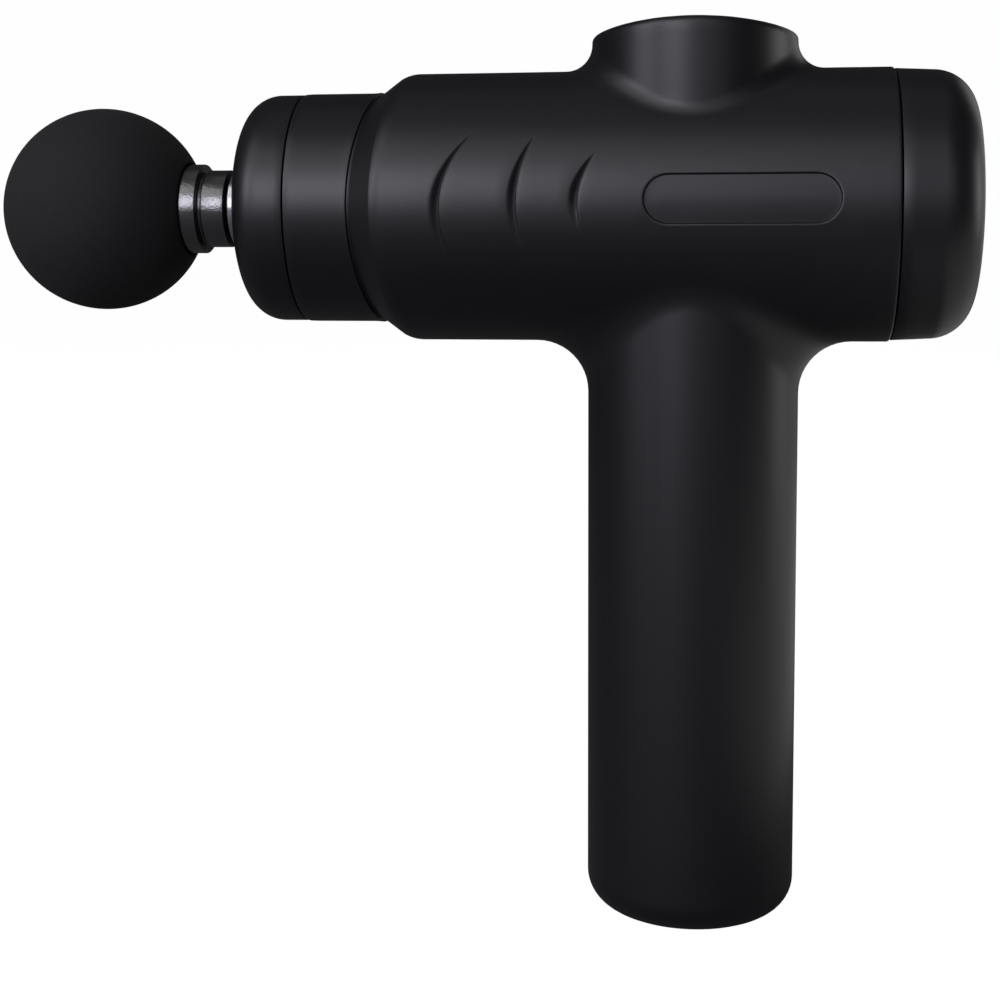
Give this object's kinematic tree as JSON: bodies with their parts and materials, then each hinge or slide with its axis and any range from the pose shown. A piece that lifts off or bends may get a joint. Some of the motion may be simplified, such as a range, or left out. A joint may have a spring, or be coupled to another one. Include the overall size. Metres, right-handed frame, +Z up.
{
  "type": "massage gun",
  "caption": "Handheld percussive massage gun with a T-shaped black housing, cylindrical handle, motor dome, reciprocating plunger and round foam ball head.",
  "frame": {"origin": "centre of the flat face under the handle", "axes": "+X along the barrel from the ball head to the rear cap, +Z up the handle towards the motor dome, Y across the barrel"},
  "size_m": [0.2368, 0.0644, 0.2161],
  "materials": {
    "soft_touch_shell": "satin soft-touch",
    "ball_foam": "matte closed-cell foam",
    "dark_plastic": "fine texture",
    "gloss_black": "gloss",
    "rubber_black": "matte",
    "polished_steel": "ground",
    "cast_aluminium": "as cast",
    "copper_wire": "enamelled",
    "nickel_tab": "satin",
    "core_steel": "lacquered",
    "cell_sleeve": "shrink film",
    "circuit_board": "solder mask",
    "lead_red": "extruded",
    "lead_black": "extruded",
    "lead_yellow": "extruded"
  },
  "bodies": {
    "housing": {"body_shell_near": "soft_touch_shell", "body_shell_far": "soft_touch_shell", "nose_cap": "soft_touch_shell", "rear_cap": "soft_touch_shell", "display_lens": "gloss_black", "display_board": "circuit_board", "control_board": "circuit_board", "drive_frame": "cast_aluminium", "cylinder_liner": "polished_steel", "front_seal": "rubber_black", "front_damper": "rubber_black", "side_damper_near": "rubber_black", "side_damper_far": "rubber_black", "motor_base": "cast_aluminium", "motor_screw_1": "polished_steel", "motor_screw_2": "polished_steel", "motor_screw_3": "polished_steel", "stator_core": "core_steel", "stator_winding": "copper_wire", "shaft_bearing_lower": "polished_steel", "shaft_bearing_upper": "polished_steel", "motor_lead_1": "lead_red", "motor_lead_2": "lead_yellow", "motor_lead_3": "lead_black", "handle_end_plate": "dark_plastic", "rocker_housing": "dark_plastic", "charging_jack": "dark_plastic", "battery_holder_bottom": "dark_plastic", "battery_holder_middle": "dark_plastic", "battery_holder_top": "dark_plastic", "battery_cell_1": "cell_sleeve", "battery_cell_2": "cell_sleeve", "battery_cell_3": "cell_sleeve", "battery_cell_4": "cell_sleeve", "battery_cell_5": "cell_sleeve", "battery_cell_6": "cell_sleeve", "nickel_strip_1": "nickel_tab", "nickel_strip_2": "nickel_tab", "nickel_strip_3": "nickel_tab", "battery_board": "circuit_board", "battery_lead_1": "lead_black", "battery_lead_2": "lead_red"},
    "crank": {"rotor_bell": "cast_aluminium", "magnet_ring": "core_steel", "motor_shaft": "polished_steel", "crank_disc": "polished_steel"},
    "piston": {"plunger": "polished_steel", "wrist_pin": "polished_steel"},
    "rod": {"connecting_rod": "cast_aluminium", "big_end_bearing": "polished_steel", "crank_pin": "polished_steel"},
    "head": {"head_ball": "ball_foam", "head_stem": "dark_plastic", "stem_o_ring_1": "rubber_black", "stem_o_ring_2": "rubber_black"},
    "switch": {"power_rocker": "gloss_black"}
  },
  "joints": [
    {"name": "crank_spin", "type": "hinge", "parent": "housing", "child": "crank", "pos_m": [0, 0, 0.1715], "axis": [0, 0, 1], "continuous": true},
    {"name": "plunger_slide", "type": "slide", "parent": "housing", "child": "piston", "axis": [-1, 0, 0], "range_m": [0, 0.01]},
    {"name": "rod_swing", "type": "hinge", "parent": "piston", "child": "rod", "pos_m": [-0.037, 0, 0.1715], "axis": [0, 0, 1], "range_deg": [-6.8, 6.8]},
    {"name": "head_pull", "type": "slide", "parent": "piston", "child": "head", "axis": [-1, 0, 0], "range_m": [0, 0.032]},
    {"name": "power_switch", "type": "hinge", "parent": "housing", "child": "switch", "pos_m": [-0.0075, 0, 0.0046], "axis": [-1, 0, 0], "range_deg": [0, 16]}
  ]
}
